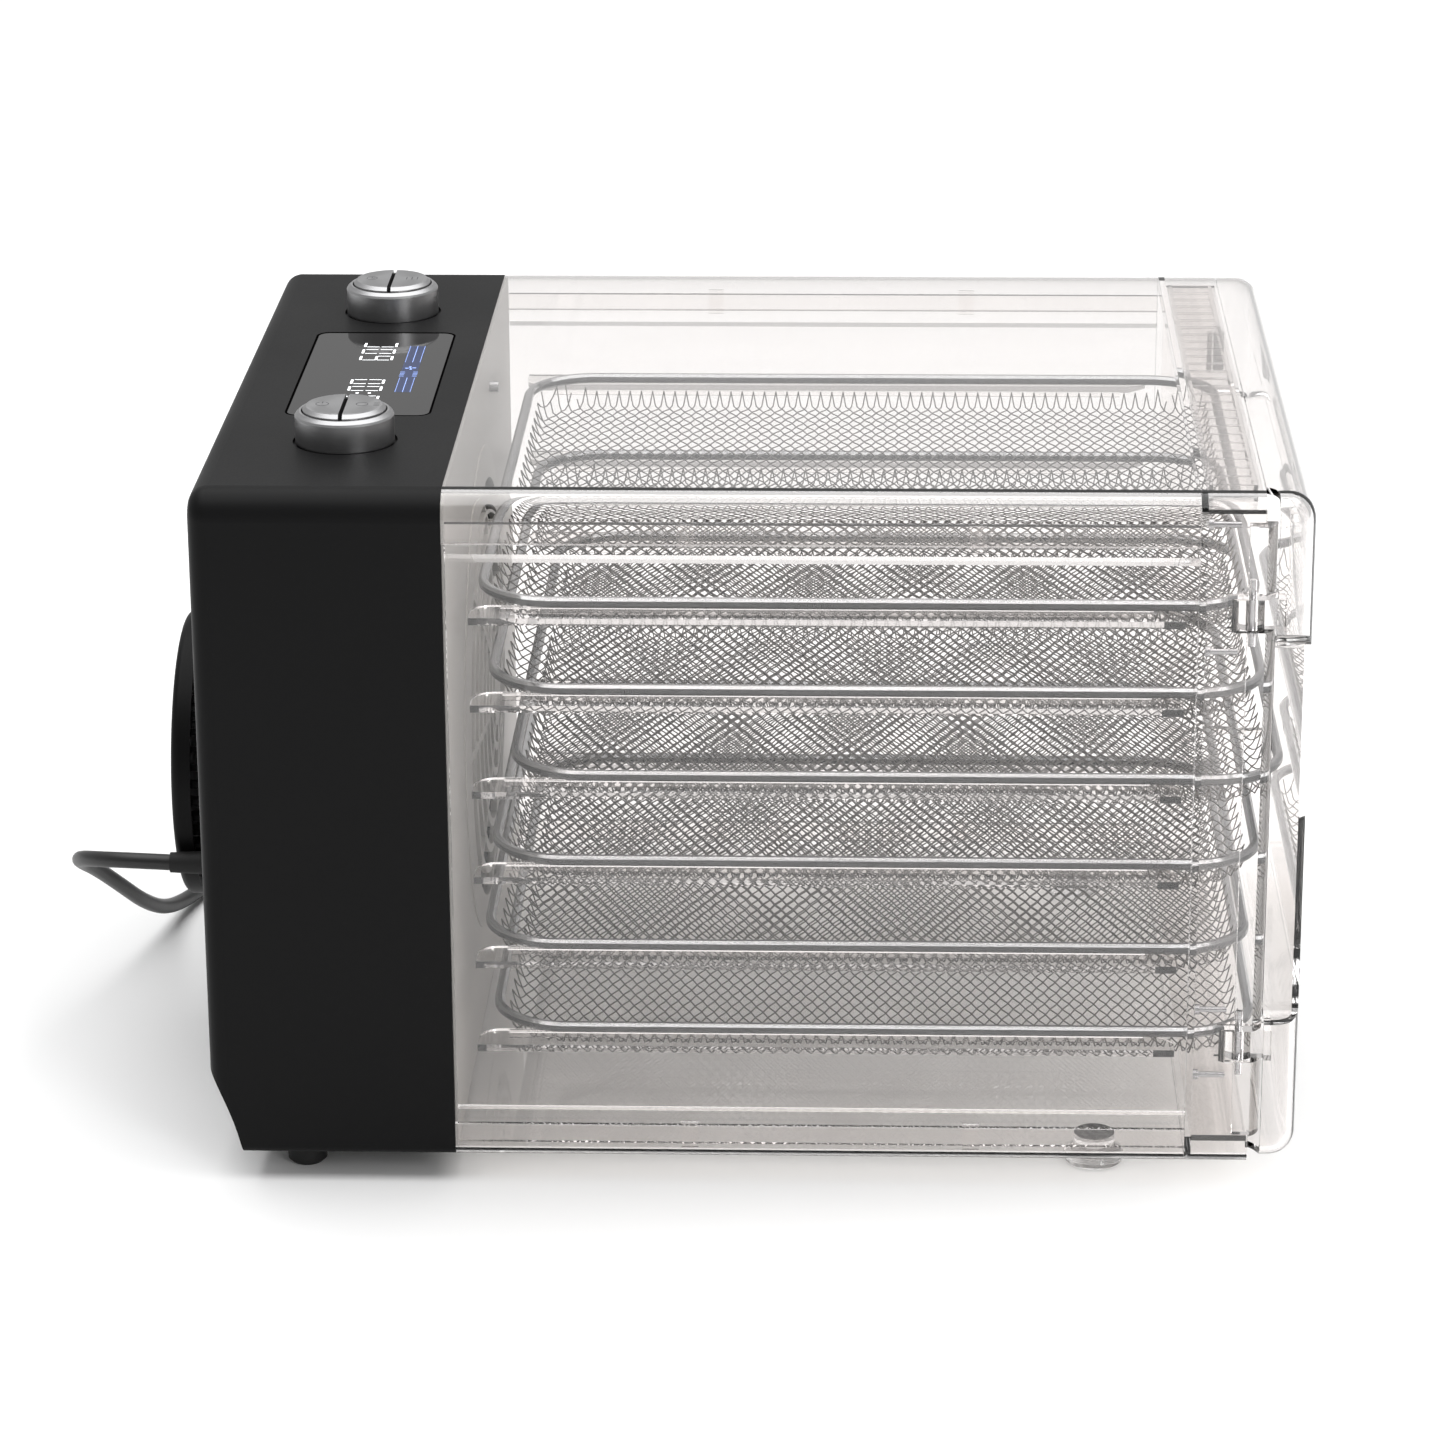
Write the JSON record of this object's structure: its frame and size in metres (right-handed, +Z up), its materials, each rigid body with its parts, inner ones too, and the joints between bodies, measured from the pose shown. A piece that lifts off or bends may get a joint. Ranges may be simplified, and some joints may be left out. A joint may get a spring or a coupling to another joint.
{
  "type": "food dehydrator",
  "caption": "countertop food dehydrator: black fan and control housing behind a clear chamber with a hinged clear door and sliding wire trays",
  "frame": {"origin": "middle of the footprint, without the power cord, on the surface it stands on", "axes": "+X to the door, +Y to the far side opposite the hinge, +Z up"},
  "size_m": [0.5294, 0.5533, 0.3144],
  "materials": {
    "black_plastic": "satin moulded",
    "grey_plastic": "satin moulded",
    "display_glass": "glossy",
    "circuit_board": "solder mask",
    "knob_metal": "brushed, grey anodised",
    "dark_nylon": "moulded",
    "steel": "plated",
    "aluminium": "bare",
    "mica": "sheet",
    "heater_wire": "oxidised",
    "clear_plastic": "clear, glossy",
    "polished_steel": "polished",
    "steel_wire": "drawn wire",
    "black_rubber": "matt",
    "clear_rubber": "clear, soft",
    "cord_jacket": "smooth"
  },
  "bodies": {
    "body": {"housing_shell": "black_plastic", "base_plate": "black_plastic", "intake_cover": "black_plastic", "chamber_rear_wall": "grey_plastic", "fan_guard": "grey_plastic", "display_window": "display_glass", "display_board": "circuit_board", "power_board": "circuit_board", "control_cores": "dark_nylon", "encoders": "dark_nylon", "motor": "steel", "motor_bracket": "steel", "heater_frame": "mica", "heater_coil": "heater_wire", "thermal_cutout": "dark_nylon", "temperature_sensor": "steel", "terminal_block": "dark_nylon", "base_screws": "steel", "top_panel": "clear_plastic", "bottom_panel": "clear_plastic", "side_panel_near": "clear_plastic", "side_panel_far": "clear_plastic", "tray_rails_near": "clear_plastic", "tray_rails_far": "clear_plastic", "panel_clips": "clear_plastic", "front_frame": "clear_plastic", "vent_grille": "clear_plastic", "hinge_pins": "steel", "hinge_screws": "steel", "strike_plates": "steel", "rear_feet": "black_rubber", "front_feet": "clear_rubber", "strain_relief": "black_rubber", "power_cord": "cord_jacket", "cord_coil": "cord_jacket", "plug": "cord_jacket", "plug_pins": "steel"},
    "door": {"door_shell": "clear_plastic", "door_magnets": "steel"},
    "near_knob": {"near_knob_ring": "knob_metal"},
    "far_knob": {"far_knob_ring": "knob_metal"},
    "near_rear_button": {"near_rear_button": "knob_metal"},
    "near_door_button": {"near_door_button": "knob_metal"},
    "far_rear_button": {"far_rear_button": "knob_metal"},
    "far_door_button": {"far_door_button": "knob_metal"},
    "fan": {"motor_shaft": "steel", "fan_impeller": "aluminium"},
    "tray_1": {"tray_1_rim": "polished_steel", "tray_1_mesh": "steel_wire"},
    "tray_2": {"tray_2_rim": "polished_steel", "tray_2_mesh": "steel_wire"},
    "tray_3": {"tray_3_rim": "polished_steel", "tray_3_mesh": "steel_wire"},
    "tray_4": {"tray_4_rim": "polished_steel", "tray_4_mesh": "steel_wire"},
    "tray_5": {"tray_5_rim": "polished_steel", "tray_5_mesh": "steel_wire"},
    "tray_6": {"tray_6_rim": "polished_steel", "tray_6_mesh": "steel_wire"}
  },
  "joints": [
    {"name": "door_hinge", "type": "hinge", "parent": "body", "child": "door", "pos_m": [0.216, -0.172, 0.157], "axis": [0, 0, -1], "range_deg": [0, 100]},
    {"name": "near_knob_turn", "type": "hinge", "parent": "body", "child": "near_knob", "pos_m": [-0.153, -0.103, 0.299], "axis": [0, 0, 1], "continuous": true},
    {"name": "near_rear_press", "type": "slide", "parent": "body", "child": "near_rear_button", "axis": [0, 0, -1], "range_m": [0, 0.001], "stiffness_N_per_m": 600, "springref_m": -0.001},
    {"name": "near_door_press", "type": "slide", "parent": "body", "child": "near_door_button", "axis": [0, 0, -1], "range_m": [0, 0.001], "stiffness_N_per_m": 600, "springref_m": -0.001},
    {"name": "far_knob_turn", "type": "hinge", "parent": "body", "child": "far_knob", "pos_m": [-0.153, 0.103, 0.299], "axis": [0, 0, 1], "continuous": true},
    {"name": "far_rear_press", "type": "slide", "parent": "body", "child": "far_rear_button", "axis": [0, 0, -1], "range_m": [0, 0.001], "stiffness_N_per_m": 600, "springref_m": -0.001},
    {"name": "far_door_press", "type": "slide", "parent": "body", "child": "far_door_button", "axis": [0, 0, -1], "range_m": [0, 0.001], "stiffness_N_per_m": 600, "springref_m": -0.001},
    {"name": "fan_spin", "type": "hinge", "parent": "body", "child": "fan", "pos_m": [-0.1295, 0, 0.1555], "axis": [1, 0, 0], "continuous": true},
    {"name": "tray_1_slide", "type": "slide", "parent": "body", "child": "tray_1", "axis": [1, 0, 0], "range_m": [-0.001, 0.013]},
    {"name": "tray_2_slide", "type": "slide", "parent": "body", "child": "tray_2", "axis": [1, 0, 0], "range_m": [-0.0045, 0.0095]},
    {"name": "tray_3_slide", "type": "slide", "parent": "body", "child": "tray_3", "axis": [1, 0, 0], "range_m": [-0.013, 0.001]},
    {"name": "tray_4_slide", "type": "slide", "parent": "body", "child": "tray_4", "axis": [1, 0, 0], "range_m": [-0.0045, 0.0095]},
    {"name": "tray_5_slide", "type": "slide", "parent": "body", "child": "tray_5", "axis": [1, 0, 0], "range_m": [-0.001, 0.013]},
    {"name": "tray_6_slide", "type": "slide", "parent": "body", "child": "tray_6", "axis": [1, 0, 0], "range_m": [-0.004, 0.01]}
  ]
}
